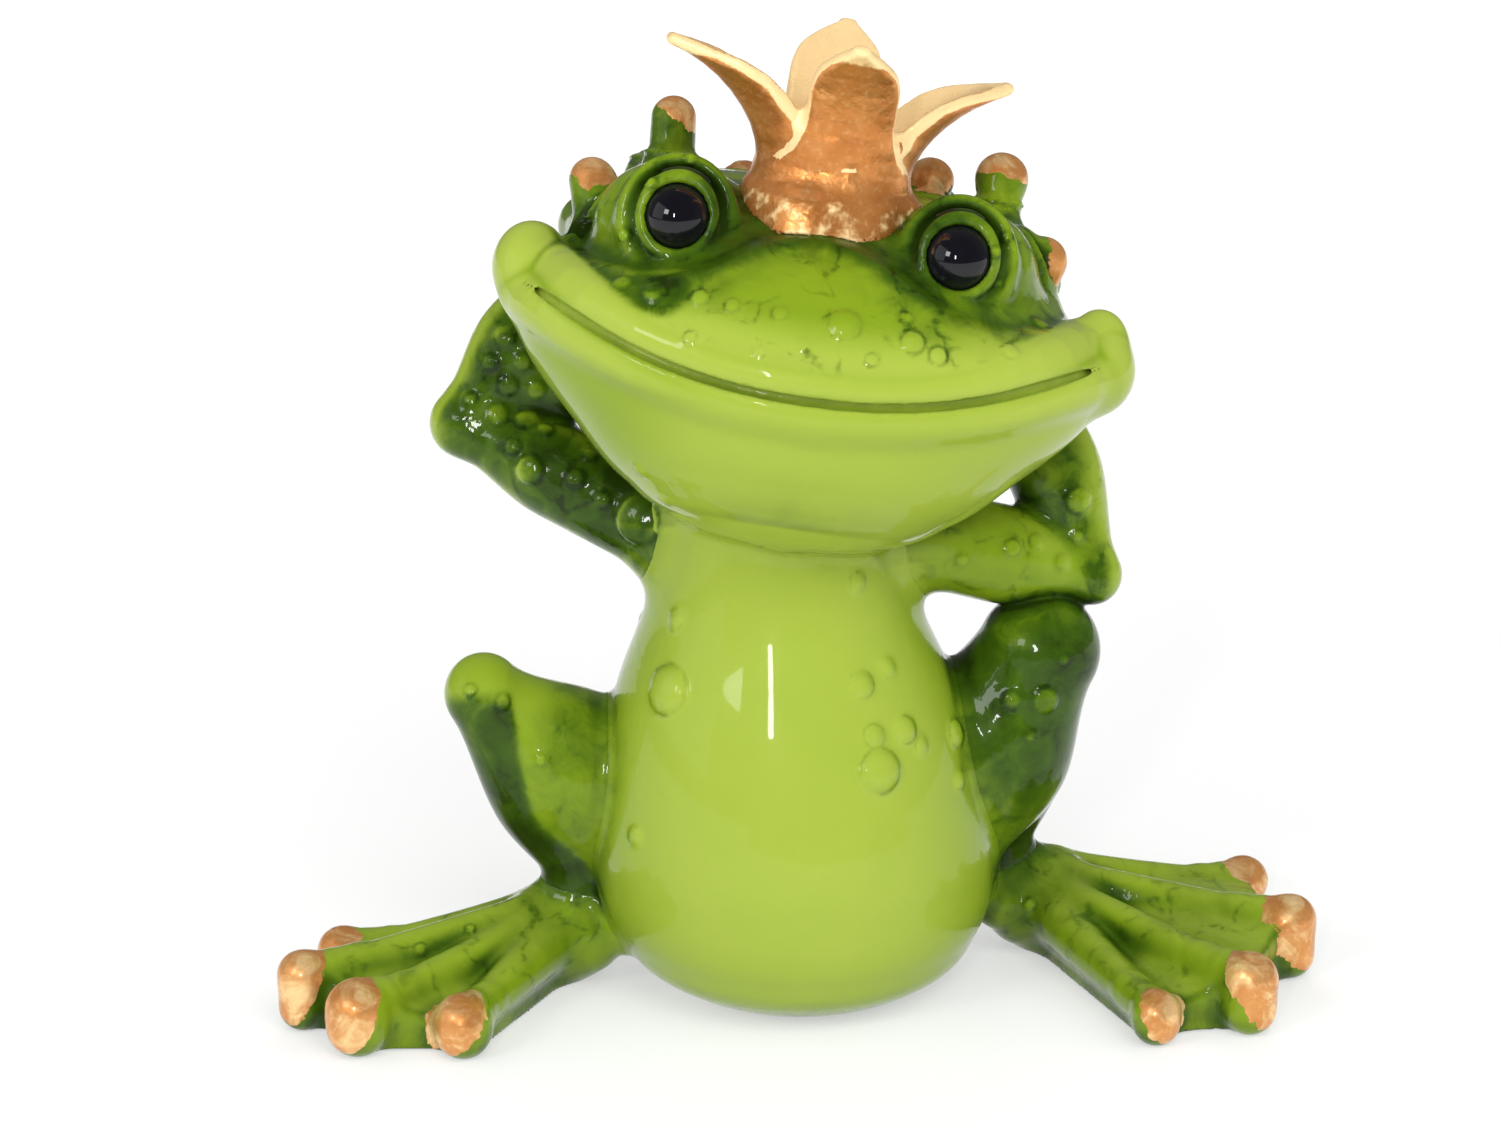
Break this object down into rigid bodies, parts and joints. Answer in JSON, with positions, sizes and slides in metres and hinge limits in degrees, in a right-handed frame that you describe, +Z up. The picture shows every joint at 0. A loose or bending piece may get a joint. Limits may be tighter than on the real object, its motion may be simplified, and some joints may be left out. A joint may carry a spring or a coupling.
{
  "type": "frog figurine",
  "caption": "Seated frog figurine with a crown, hands behind its head and webbed feet spread flat, cast in resin with a glossy painted finish.",
  "frame": {"origin": "centre of the flat seat under the torso, on the surface the figurine stands on", "axes": "+Z up, the frog faces -Y, +X is the frog's left side"},
  "size_m": [0.1168, 0.0525, 0.1071],
  "materials": {
    "green_resin": "gloss lacquer over hand-painted greens, copper-gold on the finger and toe tips",
    "crown_gold": "satin copper-gold paint with pale gold edges",
    "eye_black": "polished black",
    "pin_steel": "plain wire"
  },
  "bodies": {
    "root": {"torso": "green_resin", "head": "green_resin", "arm_left": "green_resin", "arm_right": "green_resin", "hand_left": "green_resin", "hand_right": "green_resin", "leg_left": "green_resin", "leg_right": "green_resin", "foot_left": "green_resin", "foot_right": "green_resin", "crown": "crown_gold", "eye_left": "eye_black", "eye_right": "eye_black", "neck_dowel": "pin_steel", "shoulder_dowel_left": "pin_steel", "shoulder_dowel_right": "pin_steel", "wrist_dowel_left": "pin_steel", "wrist_dowel_right": "pin_steel", "hip_dowel_left": "pin_steel", "hip_dowel_right": "pin_steel", "ankle_dowel_left": "pin_steel", "ankle_dowel_right": "pin_steel"}
  },
  "joints": []
}
